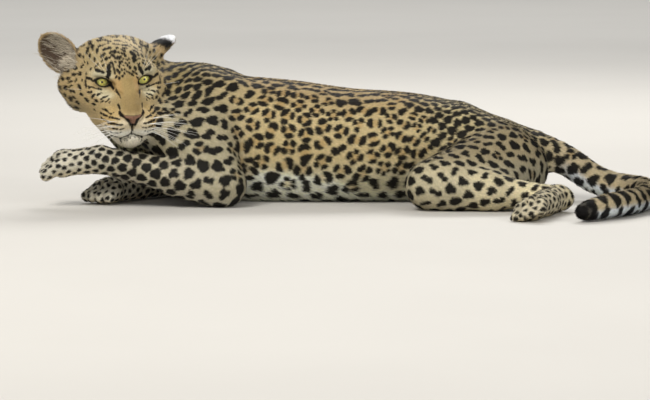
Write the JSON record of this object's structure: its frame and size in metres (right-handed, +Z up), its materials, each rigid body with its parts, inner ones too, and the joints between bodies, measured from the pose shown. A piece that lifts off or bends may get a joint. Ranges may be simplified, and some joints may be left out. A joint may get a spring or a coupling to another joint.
{
  "type": "leopard",
  "caption": "Life-size leopard lying on its chest with its head up, turned to its left and resting over crossed forelegs, and its tail curled round on the floor.",
  "frame": {"origin": "on the floor under the middle of the trunk", "axes": "+X from the head to the tail, +Y to the animal's right, +Z up; the face looks towards -Y"},
  "size_m": [1.1603, 0.8101, 0.3218],
  "materials": {
    "coat": "short tawny fur with near-black spots and rosettes",
    "pale_coat": "short pale fur with dark spots",
    "ear_coat": "short fur, black behind with a white spot, pale inside",
    "eye": "wet, yellow-green iris with a small round pupil"
  },
  "bodies": {
    "root": {"head": "coat", "neck": "coat", "trunk": "coat", "tail_root": "coat", "tail_middle": "coat", "tail_tip": "pale_coat", "upper_arm_left": "coat", "forearm_left": "coat", "forepaw_left": "pale_coat", "upper_arm_right": "coat", "forearm_right": "coat", "forepaw_right": "pale_coat", "thigh_left": "coat", "shank_left": "coat", "hind_foot_left": "pale_coat", "thigh_right": "coat", "shank_right": "coat", "hind_foot_right": "pale_coat", "ear_left": "ear_coat", "ear_right": "ear_coat", "eye_left": "eye", "eye_right": "eye"}
  },
  "joints": []
}
